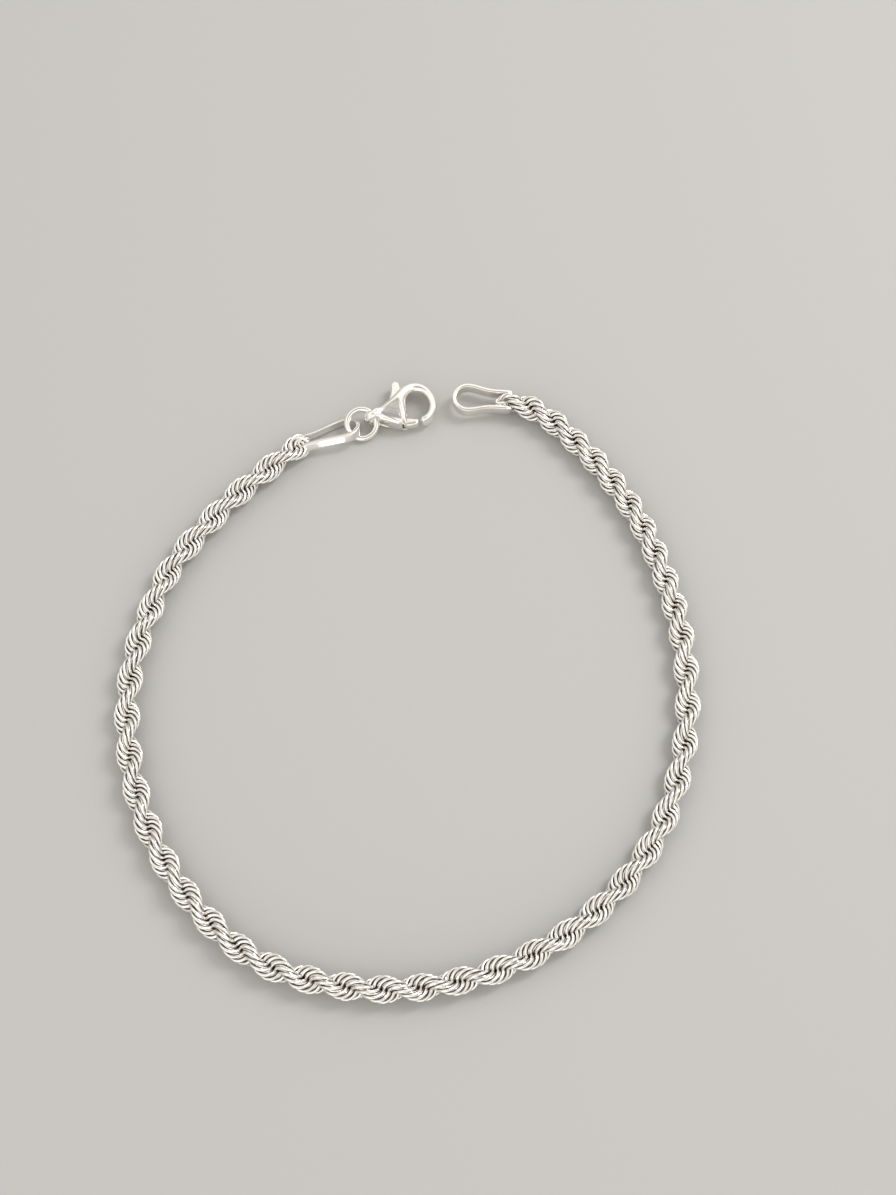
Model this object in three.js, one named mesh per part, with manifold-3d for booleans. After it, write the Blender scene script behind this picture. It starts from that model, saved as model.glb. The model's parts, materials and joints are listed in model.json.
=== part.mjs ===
// A silver rope chain bracelet with a lobster clasp, lying open on a flat surface.
// Units are millimetres, +Z is up, and the surface it lies on is z = 0.
import * as THREE from 'three';
import { mergeVertices } from 'three/addons/utils/BufferGeometryUtils.js';
import Module from 'manifold-3d';

const wasm = await Module();
wasm.setup();

// ---------- driving dimensions ----------

// The rope: two strands of rings wound round each other, right-handed.
const ROPE_WIDTH = 3.0;
const ROPE_WAIST = 1.0;
const ROPE_SIDES = 12;
const STEPS_PER_TURN = 12;
const ROPE_HEIGHT = ROPE_WIDTH / 2;
const END_TAPER_LENGTH = 0.9;

// The line that the rope lies on, from the clasp's end round to the tail, as x and y.
const ROUTE = [
  [-12.1, 28.75], [-16.8, 24.65], [-22.3, 19.0], [-27.8, 10.7], [-30.8, -1.0], [-29.5, -12.9],
  [-24.2, -23.7], [-15.5, -31.8], [-3.9, -34.8], [7.9, -33.4], [18.5, -28.0], [26.6, -18.9],
  [30.4, -7.6], [30.5, 4.4], [27.4, 16.0], [23.0, 24.0], [17.8, 30.1], [14.6, 32.65], [12.3, 33.55],
  [10.1, 33.8],
];

// How far along the rope half a turn of the twist takes: the tail stretch is wound tighter.
const TWIST = [
  { at: 0, halfPitch: 4.36 },
  { at: 42, halfPitch: 4.3 },
  { at: 50, halfPitch: 4.22 },
  { at: 85, halfPitch: 3.87 },
  { at: 115, halfPitch: 4.33 },
  { at: 140, halfPitch: 4.3 },
  { at: 148, halfPitch: 3.42 },
  { at: 184, halfPitch: 3.42 },
];
// The twist's angle at the rope's first end, where a waist has just passed the top.
const FIRST_TWIST_DEG = 98;

// The end loops: flat strip bent to a U, standing on edge, its legs gripping the rope's end.
// Lengths: bow and neck are the legs' spacing at the bow and at the rope, grip is what holds the rope, and
// core is the radius of the rope's end between the legs.
// The clasp's loop leans as a whole, and its near leg is bent over further than its far leg.
const STRIP_THICKNESS = 0.52;
const STRIP_BEVEL = 0.08;
const BOW_EASE = 0.2;
const NECK_EASE = 0.7;
const CLASP_LOOP = {
  length: 6.45, grip: 0.9, core: 0.36, bow: 3.1, neck: 1.9, height: 0.96, centreZ: 1.22, leanDeg: 25,
  bentDeg: [-10, 14],
};
const TAIL_LOOP = {
  length: 5.2, grip: 2.0, core: 0.7, bow: 3.2, neck: 2.1, height: 1.44, centreZ: 1.5, leanDeg: 0,
  bentDeg: [0, 0],
};
const CLASP_LOOP_TURN_DEG = 20;
const TAIL_LOOP_TURN_DEG = 176;

// The jump ring: round wire, soldered shut, leaning on the loop's strip.
const RING = { x: -5.78, y: 30.94, z: 1.24, radius: 1.74, wire: 0.72, steps: 30, sides: 8 };
const RING_LEAN_DEG = { x: 22, y: 6 };

// The clasp's own frame: x along the clasp, y across it, its origin in the middle of the hook.
const CLASP_X = 0.74;
const CLASP_Y = 33.32;
const CLASP_TURN_DEG = 15;
const CLASP_THICKNESS = 2.7;
const HOOK_THICKNESS = 1.64;
const HOOK_OUTER = { x: 0, y: 0.13, rx: 2.37, ry: 2.82 };
const HOOK_INNER = { x: 0, y: -0.03, rx: 1.32, ry: 1.7 };
const NOSE = { x: 0.33, y: -2.17, round: 0.49 };
const THIN_FROM_X = -2.2;
const THIN_TO_X = 0.4;
const EDGE_ROUND = 0.36;
const EYE = { x: -5.3, y: -0.25, radius: 0.95, section: 0.4, hole: 0.64, flare: 0.5 };

// The lever: a sprung plate that turns on a rivet in the clasp's slot.
const PIVOT_X = -2.7;
const PIVOT_Y = -1.2;
const RIVET_RADIUS = 0.3;
const RIVET_CLEARANCE = 0.05;
const RIVET_FLUSH = 0.02;
const LEVER_THICKNESS = 1.0;
const SLOT_THICKNESS = 1.24;
const SLOT_BOSS_RADIUS = 0.78;
const LEVER_BOSS_RADIUS = 0.62;

// ---------- materials ----------

const polishedSilver = (name, color, roughness) =>
  new THREE.MeshStandardMaterial({ name, color, roughness, metalness: 1.0 });
const CHAIN_SILVER = polishedSilver('chain_silver', 0xf0ebe2, 0.16);
const STRIP_SILVER = polishedSilver('strip_silver', 0xf1ede6, 0.12);
const WIRE_SILVER = polishedSilver('wire_silver', 0xf1ede6, 0.1);
const CAST_SILVER = polishedSilver('cast_silver', 0xefeae1, 0.14);
const RIVET_SILVER = polishedSilver('rivet_silver', 0xe9e4db, 0.2);

// ---------- helpers ----------

const radians = THREE.MathUtils.degToRad;
const CURVE_STEPS = 9;
const SAME_POINT = 0.01;
const MERGE_DISTANCE = 1e-4;

// A solid from rings of points that follow each other, with flat ends.
function loftRings(rings) {
  const count = rings[0].length;
  const positions = [];
  const index = [];
  const addPoint = (point) => {
    positions.push(point.x, point.y, point.z);
    return positions.length / 3 - 1;
  };
  rings.forEach((ring) => ring.forEach(addPoint));
  for (let row = 0; row + 1 < rings.length; row += 1) {
    for (let col = 0; col < count; col += 1) {
      const next = (col + 1) % count;
      const a = row * count + col;
      const b = row * count + next;
      const c = (row + 1) * count + next;
      const d = (row + 1) * count + col;
      index.push(a, b, c, a, c, d);
    }
  }
  const lastRow = (rings.length - 1) * count;
  for (let col = 1; col + 1 < count; col += 1) {
    index.push(0, col + 1, col);
    index.push(lastRow, lastRow + col, lastRow + col + 1);
  }
  const geometry = new THREE.BufferGeometry();
  geometry.setAttribute('position', new THREE.Float32BufferAttribute(positions, 3));
  geometry.setIndex(index);
  geometry.computeVertexNormals();
  return geometry;
}

// The shape drawn in x and y, given its thickness in z, with rounded edges inside its outline.
function roundedPlate(shape, thickness, round, segments = 2) {
  const geometry = new THREE.ExtrudeGeometry(shape, {
    depth: thickness - 2 * round,
    bevelEnabled: true,
    bevelThickness: round,
    bevelSize: round,
    bevelOffset: -round,
    bevelSegments: segments,
    curveSegments: 8,
    steps: 1,
  });
  return geometry.translate(0, 0, round - thickness / 2);
}

function toSolid(geometry) {
  const bare = geometry.clone();
  bare.deleteAttribute('normal');
  bare.deleteAttribute('uv');
  const merged = mergeVertices(bare, MERGE_DISTANCE);
  const triangles = [];
  for (let i = 0; i < merged.index.count; i += 3) {
    const [a, b, c] = merged.index.array.slice(i, i + 3);
    if (a !== b && b !== c && c !== a) {
      triangles.push(a, b, c);
    }
  }
  return new wasm.Manifold(new wasm.Mesh({
    numProp: 3,
    vertProperties: new Float32Array(merged.attributes.position.array),
    triVerts: new Uint32Array(triangles),
  }));
}

function fromSolid(solid) {
  const { vertProperties, triVerts } = solid.getMesh();
  const geometry = new THREE.BufferGeometry();
  geometry.setAttribute('position', new THREE.BufferAttribute(new Float32Array(vertProperties), 3));
  geometry.setIndex(new THREE.BufferAttribute(new Uint32Array(triVerts), 1));
  geometry.computeVertexNormals();
  return geometry;
}

function namedMesh(name, geometry, material) {
  const mesh = new THREE.Mesh(geometry, material);
  mesh.name = name;
  return mesh;
}

// Points on an ellipse from one angle to another, in degrees.
function ellipsePoints({ x, y, rx, ry }, fromDeg, toDeg, steps) {
  return Array.from({ length: steps + 1 }, (_, i) => {
    const angle = radians(THREE.MathUtils.lerp(fromDeg, toDeg, i / steps));
    return new THREE.Vector2(x + rx * Math.cos(angle), y + ry * Math.sin(angle));
  });
}

const flatPoints = (pairs) => pairs.map(([x, y]) => new THREE.Vector2(x, y));

// ---------- the rope chain ----------

function halfPitchAt(distance) {
  const next = Math.max(1, TWIST.findIndex((row) => row.at >= distance));
  const from = TWIST[next - 1];
  const to = TWIST[next];
  const share = (distance - from.at) / (to.at - from.at);
  return THREE.MathUtils.lerp(from.halfPitch, to.halfPitch, share);
}

// At each end the rope thins to a round core, which the loop's legs hold between them.
function fullness(distance, length) {
  const pastLegs = Math.min(distance - CLASP_LOOP.grip, length - distance - TAIL_LOOP.grip);
  return THREE.MathUtils.smoothstep(pastLegs, 0, END_TAPER_LENGTH);
}

// Two lobes and a waist between them, turned to the twist's angle.
function ropeSection(centre, along, angle, full, core) {
  const up = new THREE.Vector3(0, 0, 1);
  const side = new THREE.Vector3().crossVectors(up, along).normalize();
  const mean = (ROPE_WIDTH + ROPE_WAIST) / 4;
  const swing = (ROPE_WIDTH - ROPE_WAIST) / 4;
  return Array.from({ length: ROPE_SIDES }, (_, i) => {
    const around = (2 * Math.PI * i) / ROPE_SIDES;
    const lobed = mean + swing * Math.cos(2 * around);
    const radius = THREE.MathUtils.lerp(core, lobed, full);
    return centre.clone()
      .addScaledVector(side, radius * Math.cos(around + angle))
      .addScaledVector(up, radius * Math.sin(around + angle));
  });
}

// Where the sections stand along the rope, and the twist's angle at each: closer at the ends.
function twistStops(length) {
  const stops = [{ distance: 0, angle: radians(FIRST_TWIST_DEG) }];
  let { distance, angle } = stops[0];
  while (distance < length) {
    const nearEnd = fullness(distance, length) < 1;
    const turn = (2 * Math.PI) / STEPS_PER_TURN / (nearEnd ? 3 : 1);
    const advance = Math.min((halfPitchAt(distance) * turn) / Math.PI, length - distance);
    angle += (Math.PI * advance) / halfPitchAt(distance);
    distance += advance;
    stops.push({ distance, angle });
  }
  return stops;
}

const routePoints = ROUTE.map(([x, y]) => new THREE.Vector3(x, y, ROPE_HEIGHT));
const route = new THREE.CatmullRomCurve3(routePoints, false, 'catmullrom', 0.5);
route.arcLengthDivisions = 1600;

function ropeChain() {
  const length = route.getLength();
  return loftRings(twistStops(length).map(({ distance, angle }) => {
    const u = distance / length;
    const full = fullness(distance, length);
    const { centreZ, core } = u < 0.5 ? CLASP_LOOP : TAIL_LOOP;
    const centre = route.getPointAt(u).setZ(THREE.MathUtils.lerp(centreZ, ROPE_HEIGHT, full));
    return ropeSection(centre, route.getTangentAt(u), angle, full, core);
  }));
}

// ---------- the end loops ----------

// A U of strip in its own flat frame: the bow is at x = 0 and the legs run along +x.
function loopShape({ length, grip, bow, neck }) {
  const path = new THREE.Path();
  const bowRadius = bow / 2;
  const legY = neck / 2;
  const centreX = STRIP_THICKNESS / 2 + bowRadius;
  const end = length + grip;
  path.moveTo(end, legY);
  path.lineTo(length, legY);
  path.bezierCurveTo(length * NECK_EASE, legY, centreX + length * BOW_EASE, bowRadius, centreX, bowRadius);
  path.absarc(centreX, 0, bowRadius, Math.PI / 2, (3 * Math.PI) / 2, false);
  path.bezierCurveTo(centreX + length * BOW_EASE, -bowRadius, length * NECK_EASE, -legY, length, -legY);
  path.lineTo(end, -legY);
  const line = path.getPoints(CURVE_STEPS);
  const kept = line.filter((point, i) => i === 0 || point.distanceTo(line[i - 1]) > SAME_POINT);
  const offset = (sign) => kept.map((point, i) => {
    const before = kept[Math.max(0, i - 1)];
    const after = kept[Math.min(kept.length - 1, i + 1)];
    const along = after.clone().sub(before).normalize();
    return new THREE.Vector2(
      point.x - (sign * along.y * STRIP_THICKNESS) / 2,
      point.y + (sign * along.x * STRIP_THICKNESS) / 2,
    );
  });
  return new THREE.Shape([...offset(1), ...offset(-1).reverse()]);
}

// The strip leans over by one angle at its far leg and another at its near leg, and evenly between them.
function bendOver(geometry, { neck, bentDeg }) {
  const position = geometry.attributes.position;
  for (let i = 0; i < position.count; i += 1) {
    const share = THREE.MathUtils.smoothstep(position.getY(i), -neck / 2, neck / 2);
    const lean = radians(THREE.MathUtils.lerp(bentDeg[0], bentDeg[1], share));
    position.setY(i, position.getY(i) - position.getZ(i) * Math.sin(lean));
    position.setZ(i, position.getZ(i) * Math.cos(lean));
  }
  return geometry;
}

// The loop's legs end beside the rope's core: gripU is the middle of their grip along the route.
function endLoop(name, size, gripU, turnDeg) {
  const geometry = bendOver(roundedPlate(loopShape(size), size.height, STRIP_BEVEL, 1), size);
  const mesh = namedMesh(name, geometry, STRIP_SILVER);
  const turn = radians(turnDeg);
  const reach = size.length + size.grip / 2;
  mesh.rotation.set(radians(size.leanDeg), 0, turn + Math.PI, 'ZYX');
  mesh.position.copy(route.getPointAt(gripU)).setZ(size.centreZ);
  mesh.position.x += reach * Math.cos(turn);
  mesh.position.y += reach * Math.sin(turn);
  return mesh;
}

// ---------- the jump ring ----------

function jumpRing() {
  const section = Array.from({ length: RING.sides + 1 }, (_, i) => {
    const angle = (2 * Math.PI * (i % RING.sides)) / RING.sides;
    return new THREE.Vector2(
      RING.radius + (RING.wire / 2) * Math.cos(angle),
      (RING.wire / 2) * Math.sin(angle),
    );
  });
  const geometry = new THREE.LatheGeometry(section, RING.steps).rotateX(Math.PI / 2);
  const mesh = namedMesh('jump_ring', geometry, WIRE_SILVER);
  mesh.position.set(RING.x, RING.y, RING.z);
  mesh.rotation.set(radians(RING_LEAN_DEG.x), radians(RING_LEAN_DEG.y), 0);
  return mesh;
}

// ---------- the clasp ----------

// The clasp's outline: nose, hook, spine, tail, belly, the wall beside the lever's arm and the throat.
function claspShape() {
  const noseEnd = ellipsePoints({ x: NOSE.x, y: NOSE.y, rx: NOSE.round, ry: NOSE.round }, 115, 250, 6);
  return new THREE.Shape([
    ...noseEnd,
    ...ellipsePoints(HOOK_OUTER, -76, 106, 24),
    ...flatPoints([[-1.3, 2.5], [-1.85, 2.12], [-2.75, 1.46], [-3.9, 0.8], [-4.72, 0.4], [-5.3, 0.12]]),
    ...flatPoints([[-5.3, -0.64], [-4.9, -1.04], [-4.34, -1.38], [-3.5, -1.83], [-2.83, -2.13]]),
    ...flatPoints([[-2.25, -2.36], [-1.78, -2.5], [-1.68, -1.5], [-1.42, -0.6]]),
    ...ellipsePoints(HOOK_INNER, 176, -66, 24),
  ]);
}

// The clasp is thickest at its body and thins into the hook.
function thinTowardsHook(geometry) {
  const position = geometry.attributes.position;
  for (let i = 0; i < position.count; i += 1) {
    const share = THREE.MathUtils.smoothstep(position.getX(i), THIN_FROM_X, THIN_TO_X);
    position.setZ(i, position.getZ(i) * THREE.MathUtils.lerp(1, HOOK_THICKNESS / CLASP_THICKNESS, share));
  }
  return geometry;
}

// The eye at the clasp's tail: a ring standing on edge, with its hole along y.
function eyeRing() {
  const sides = 10;
  const section = Array.from({ length: sides + 1 }, (_, i) => {
    const angle = (2 * Math.PI * (i % sides)) / sides;
    return new THREE.Vector2(EYE.radius + EYE.section * Math.cos(angle), EYE.section * Math.sin(angle));
  });
  return new THREE.LatheGeometry(section, 20).translate(EYE.x, EYE.y, 0);
}

function eyeHole() {
  const reach = 1.4;
  const profile = [-1, -0.55, -0.25, 0, 0.25, 0.55, 1].map((t) =>
    new THREE.Vector2(EYE.hole + EYE.flare * (reach * t) ** 2, reach * t));
  const closed = [new THREE.Vector2(0, -reach), ...profile, new THREE.Vector2(0, reach)];
  return new THREE.LatheGeometry(closed, 20).translate(EYE.x, EYE.y, 0);
}

// The slot takes in all the room that the lever needs from shut to open.
function leverSlot() {
  const round = Array.from({ length: 7 }, (_, i) => {
    const angle = radians(THREE.MathUtils.lerp(175, 290, i / 6));
    return [PIVOT_X + SLOT_BOSS_RADIUS * Math.cos(angle), PIVOT_Y + SLOT_BOSS_RADIUS * Math.sin(angle)];
  });
  const shape = new THREE.Shape(flatPoints([
    [-0.95, 3.6], [-4.6, 3.6], [-4.75, 1.5], ...round,
    [-2.36, -2.2], [-2.36, -3.2], [-0.9, -3.2], [-0.9, -0.45], [-1.95, -0.45], [-1.2, 2.2],
  ]));
  const geometry = new THREE.ExtrudeGeometry(shape, { depth: SLOT_THICKNESS, bevelEnabled: false });
  return geometry.translate(0, 0, -SLOT_THICKNESS / 2);
}

function rivetHole() {
  const hole = new THREE.CylinderGeometry(
    RIVET_RADIUS + RIVET_CLEARANCE, RIVET_RADIUS + RIVET_CLEARANCE, CLASP_THICKNESS + 1, 20);
  return hole.rotateX(Math.PI / 2).translate(PIVOT_X, PIVOT_Y, 0);
}

function claspBody() {
  const plate = thinTowardsHook(roundedPlate(claspShape(), CLASP_THICKNESS, EDGE_ROUND, 3));
  const solid = toSolid(plate)
    .add(toSolid(eyeRing()))
    .subtract(toSolid(eyeHole()))
    .subtract(toSolid(leverSlot()))
    .subtract(toSolid(rivetHole()));
  return namedMesh('clasp_body', fromSolid(solid), CAST_SILVER);
}

// The lever from its thumb tab through the body to the arm that shuts the hook.
function claspLever() {
  const boss = Array.from({ length: 6 }, (_, i) => {
    const angle = radians(THREE.MathUtils.lerp(180, 275, i / 5));
    return [PIVOT_X + LEVER_BOSS_RADIUS * Math.cos(angle), PIVOT_Y + LEVER_BOSS_RADIUS * Math.sin(angle)];
  });
  const tabTop = Array.from({ length: 7 }, (_, i) => {
    const angle = radians(THREE.MathUtils.lerp(0, 180, i / 6));
    return [-1.86 + 0.52 * Math.cos(angle), 3.18 + 0.52 * Math.sin(angle)];
  });
  const shape = new THREE.Shape(flatPoints([
    [-0.62, -2.58], [-0.44, -2.36], [-0.36, -2.05], [-0.44, -1.88], [-1.5, -1.5], [-1.6, -1.3], [-2.0, -0.95],
    [-2.05, -0.2], [-1.8, 1.1], [-1.42, 2.3], ...tabTop,
    [-2.46, 2.75], [-2.72, 2.1], [-3.02, 1.55], [-3.2, 0.4], ...boss,
    [-2.32, -1.9], [-2.2, -2.2], [-1.9, -2.48], [-1.3, -2.6],
  ]));
  const hole = new THREE.Path();
  hole.absarc(PIVOT_X, PIVOT_Y, RIVET_RADIUS + RIVET_CLEARANCE, 0, 2 * Math.PI, true);
  shape.holes.push(hole);
  return namedMesh('clasp_lever', roundedPlate(shape, LEVER_THICKNESS, 0.12, 2), CAST_SILVER);
}

function claspRivet() {
  const rivet = new THREE.CylinderGeometry(RIVET_RADIUS, RIVET_RADIUS, CLASP_THICKNESS - 2 * RIVET_FLUSH, 20);
  return namedMesh('clasp_rivet', rivet.rotateX(Math.PI / 2).translate(PIVOT_X, PIVOT_Y, 0), RIVET_SILVER);
}

function clasp() {
  const group = new THREE.Group();
  group.add(claspBody(), claspLever(), claspRivet());
  group.position.set(CLASP_X, CLASP_Y, CLASP_THICKNESS / 2);
  group.rotation.z = radians(CLASP_TURN_DEG);
  return group;
}

// ---------- the bracelet ----------

const bracelet = new THREE.Group();
const ropeLength = route.getLength();
bracelet.add(
  namedMesh('rope_chain', ropeChain(), CHAIN_SILVER),
  endLoop('clasp_end_loop', CLASP_LOOP, CLASP_LOOP.grip / 2 / ropeLength, CLASP_LOOP_TURN_DEG),
  endLoop('tail_end_loop', TAIL_LOOP, 1 - TAIL_LOOP.grip / 2 / ropeLength, TAIL_LOOP_TURN_DEG),
  jumpRing(),
  clasp(),
);

// The origin is on the surface, under the middle of the bracelet's box.
const extent = new THREE.Box3().setFromObject(bracelet, true);
const middle = extent.getCenter(new THREE.Vector3());
bracelet.position.set(-middle.x, -middle.y, -extent.min.z);

export default bracelet;
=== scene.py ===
# %% [markdown]
# # A silver rope chain bracelet
#
# The bracelet lies open on a pale surface: a rope chain of small soldered rings, a strip loop on each of
# its ends, and a lobster clasp on a jump ring. The solid model gives every size and place. Here each part
# gets the fine shape and the finish that the eye needs, and nothing is moved or resized. The first lines
# load the model, and its box is kept and printed at the end.

# %% Load the solid model
import json
import math

import bpy
import numpy as np
from mathutils import Matrix, Vector


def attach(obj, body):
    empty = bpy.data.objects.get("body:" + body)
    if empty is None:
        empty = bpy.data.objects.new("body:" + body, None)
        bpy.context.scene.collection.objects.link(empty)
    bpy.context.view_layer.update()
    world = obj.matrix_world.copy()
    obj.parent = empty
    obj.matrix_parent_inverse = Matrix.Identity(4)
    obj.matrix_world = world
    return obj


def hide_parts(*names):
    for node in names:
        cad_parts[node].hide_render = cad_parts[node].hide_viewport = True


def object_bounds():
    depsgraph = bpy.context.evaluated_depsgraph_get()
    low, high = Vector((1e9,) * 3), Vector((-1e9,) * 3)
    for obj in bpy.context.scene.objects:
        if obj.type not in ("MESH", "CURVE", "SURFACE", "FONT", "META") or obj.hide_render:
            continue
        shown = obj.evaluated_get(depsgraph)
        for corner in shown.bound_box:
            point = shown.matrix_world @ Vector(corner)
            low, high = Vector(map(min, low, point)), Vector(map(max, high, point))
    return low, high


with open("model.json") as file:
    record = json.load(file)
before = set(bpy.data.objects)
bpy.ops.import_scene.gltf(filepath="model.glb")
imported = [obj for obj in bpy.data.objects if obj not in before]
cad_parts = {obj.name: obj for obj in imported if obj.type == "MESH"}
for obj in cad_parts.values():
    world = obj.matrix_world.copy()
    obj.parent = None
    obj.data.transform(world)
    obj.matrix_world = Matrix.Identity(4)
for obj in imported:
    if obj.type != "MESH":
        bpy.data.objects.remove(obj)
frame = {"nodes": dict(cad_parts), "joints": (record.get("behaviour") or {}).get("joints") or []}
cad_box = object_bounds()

MM = 0.001
nodes = frame["nodes"]

# %% [markdown]
# ## Where the drawing meets the model
#
# Sizes here are in millimetres on the maker's drawing. The model stands a hair to one side of it, because
# its origin is the middle of its box. The lever's pivot is known in both, and that gives the shift.

# %% The clasp's own axes
CLASP_PLACE = (0.74, 33.32)
CLASP_TURN = math.radians(15)
CLASP_THICKNESS = 2.7
PIVOT = (-2.7, -1.2)


def on_drawing(x, y):
    """A point in the clasp's own axes, as x and y on the drawing, in millimetres."""
    cos = math.cos(CLASP_TURN)
    sin = math.sin(CLASP_TURN)
    return (CLASP_PLACE[0] + x * cos - y * sin, CLASP_PLACE[1] + x * sin + y * cos)


pivot = Vector(frame["joints"][0]["pos_m"]) / MM
drawn = on_drawing(*PIVOT)
SHIFT = Vector((pivot.x - drawn[0], pivot.y - drawn[1], 0))
print("the drawing's origin in the model, mm:", [round(v, 3) for v in SHIFT])

# %% [markdown]
# ## The camera
#
# The camera looks down steeply, 68 degrees above the surface, from the near side. A lens of about 50 mm on
# a frame 36 mm high stands 188 mm away and takes in the whole bracelet with room round it. It looks a
# little to the right of the bracelet's middle and above it, so the bracelet lies low and left in the frame.

# %% Camera
ELEVATION = math.radians(68)
DISTANCE = 188 * MM
LENS = 49.7
FRAME_HEIGHT = 36
LOOKS_AT = (4.4, 9.3, 0)      # on the drawing
aim = (Vector(LOOKS_AT) + SHIFT) * MM

camera_data = bpy.data.cameras.new("camera")
camera_data.sensor_fit = "VERTICAL"
camera_data.sensor_height = FRAME_HEIGHT
camera_data.lens = LENS
camera_data.clip_start = 5 * MM
camera_data.clip_end = 5
camera = bpy.data.objects.new("camera", camera_data)
bpy.context.scene.collection.objects.link(camera)
camera.location = aim + DISTANCE * Vector((0, -math.cos(ELEVATION), math.sin(ELEVATION)))
camera.rotation_euler = (aim - camera.location).to_track_quat("-Z", "Y").to_euler()
bpy.context.scene.camera = camera
print("camera at, mm:", [round(v / MM, 1) for v in camera.location])

# %% [markdown]
# ## Helpers for meshes
#
# A wire, a strip and a turned part are all one section repeated along a path. So one helper joins rows of
# points into a skin. It works on arrays, because 700 rings have too many points to add one by one.

# %% Mesh helpers


def skin_faces(rows, around, closed_rows):
    """Quads between rows of points, each row closed on itself. The last row may join the first."""
    row = np.arange(rows if closed_rows else rows - 1)[:, None]
    col = np.arange(around)[None, :]
    next_row = (row + 1) % rows
    next_col = (col + 1) % around
    corners = [row * around + col, next_row * around + col,
               next_row * around + next_col, row * around + next_col]
    return np.stack(np.broadcast_arrays(*corners), axis=-1).reshape(-1, 4)


def make_piece(name, points_mm, faces, caps=()):
    """A smooth-shaded object from points on the drawing, in millimetres."""
    mesh = bpy.data.meshes.new(name)
    place = (np.asarray(points_mm) + np.array(SHIFT)) * MM
    mesh.from_pydata(place.tolist(), [], [list(map(int, f)) for f in faces] + [list(cap) for cap in caps])
    mesh.validate()
    mesh.update()
    mesh.shade_smooth()
    piece = bpy.data.objects.new(name, mesh)
    bpy.context.scene.collection.objects.link(piece)
    return piece


def count_triangles(piece):
    """Triangles in a piece, counting a face of more corners as what it would be cut into."""
    return sum(len(p.vertices) - 2 for p in piece.data.polygons)


def smoothstep(value, low, high):
    """0 below low, 1 above high, and a soft rise between them."""
    share = np.clip((np.asarray(value, float) - low) / (high - low), 0, 1)
    return share * share * (3 - 2 * share)


print("half way up a soft rise:", float(smoothstep(0.5, 0, 1)))

# %% [markdown]
# ## The line the rope lies on
#
# The rope runs from the clasp round to the tail. Its line is a smooth curve through listed points, the
# same ones that the solid model has. A table of length along the curve then says where any distance falls.

# %% Rope line
ROPE_LINE = [
    (-12.1, 28.75), (-16.8, 24.65), (-22.3, 19.0), (-27.8, 10.7), (-30.8, -1.0), (-29.5, -12.9),
    (-24.2, -23.7), (-15.5, -31.8), (-3.9, -34.8), (7.9, -33.4), (18.5, -28.0), (26.6, -18.9),
    (30.4, -7.6), (30.5, 4.4), (27.4, 16.0), (23.0, 24.0), (17.8, 30.1), (14.6, 32.65), (12.3, 33.55),
    (10.1, 33.8),
]
ROPE_WIDTH = 3.0
ROPE_LINE_STEPS = 200         # from one of these points to the next


def smooth_curve(points, steps):
    """Points on a smooth curve through the given ones."""
    p = np.array(points, float)
    p = np.vstack([2 * p[0] - p[1], p, 2 * p[-1] - p[-2]])
    t = np.linspace(0, 1, steps, endpoint=False)[:, None]
    runs = []
    for a, b, c, d in zip(p[:-3], p[1:-2], p[2:-1], p[3:]):
        runs.append(0.5 * (2 * b + (c - a) * t + (2 * a - 5 * b + 4 * c - d) * t**2
                           + (3 * b - 3 * c + d - a) * t**3))
    return np.vstack(runs + [p[-2:-1]])


rope_points = smooth_curve(ROPE_LINE, ROPE_LINE_STEPS)
rope_marks = np.concatenate([[0], np.cumsum(np.linalg.norm(np.diff(rope_points, axis=0), axis=1))])
ROPE_LENGTH = rope_marks[-1]


def rope_place(distance):
    """The rope's middle at a distance along it, and the way that it runs there. Past an end it runs on."""
    def at(mark):
        return np.stack([np.interp(mark, rope_marks, rope_points[:, k]) for k in (0, 1)], axis=-1)

    step = 0.05
    within = np.clip(distance, step, ROPE_LENGTH - step)
    along = at(within + step) - at(within - step)
    along /= np.linalg.norm(along, axis=-1, keepdims=True)
    return at(within) + along * (distance - within)[:, None], along


print(f"the rope is {ROPE_LENGTH:.1f} mm long")

# %% [markdown]
# ## The twist
#
# The rope is two strands of rings wound round each other to the right. Half a turn takes a little over
# four millimetres, and only 3.4 in the stretch before the tail. Each pair is a distance along the rope and
# the half turn's length there. Adding up the turn along the rope gives its angle anywhere.

# %% Twist along the rope
TWIST = [(0, 4.36), (42, 4.3), (50, 4.22), (85, 3.87), (115, 4.33), (140, 4.3), (148, 3.42), (184, 3.42)]
FIRST_TWIST = math.radians(98)
TWIST_STEPS = 3600

twist_marks = np.linspace(0, ROPE_LENGTH, TWIST_STEPS)
half_pitch = np.interp(twist_marks, *np.array(TWIST, float).T)
turn_between = np.diff(twist_marks) * math.pi / ((half_pitch[1:] + half_pitch[:-1]) / 2)
twist_angles = FIRST_TWIST + np.concatenate([[0], np.cumsum(turn_between)])
print(f"the rope makes {(twist_angles[-1] - FIRST_TWIST) / (2 * math.pi):.1f} turns")

# %% [markdown]
# ## The rings of the rope
#
# A rope chain is only soldered rings of round wire. Each one hooks over those before it, and the next ring
# turns half way round and a little more, so the rings lie in two strands that wind. Each ring stands a
# little off the rope's middle, and leans so that the wires touch and show as fine lines.

# %% Ring sizes
WIRE = 0.36
RING_RADIUS = 1.158
RING_OFF_MIDDLE = ROPE_WIDTH / 2 - RING_RADIUS - WIRE / 2
RING_RISE = 0.254
RING_LEAN = 0.12
END_GAP = 0.15
ROPE_HEIGHT = ROPE_WIDTH / 2

ring_count = int((ROPE_LENGTH - 2 * END_GAP) / RING_RISE)
print(ring_count, "rings")

# %% [markdown]
# ## The rope where the loops hold it
#
# At each end of the rope the rings get small enough to fit between the legs of an end loop, and they lie at
# that loop's height. Before the legs end the rings grow wide again, so wires lie over the legs' ends, as
# they do where a jeweller tucks a strip into a rope. Pairs have the clasp's end first, then the tail's, and
# the last two pairs are stretches in millimetres.

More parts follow.
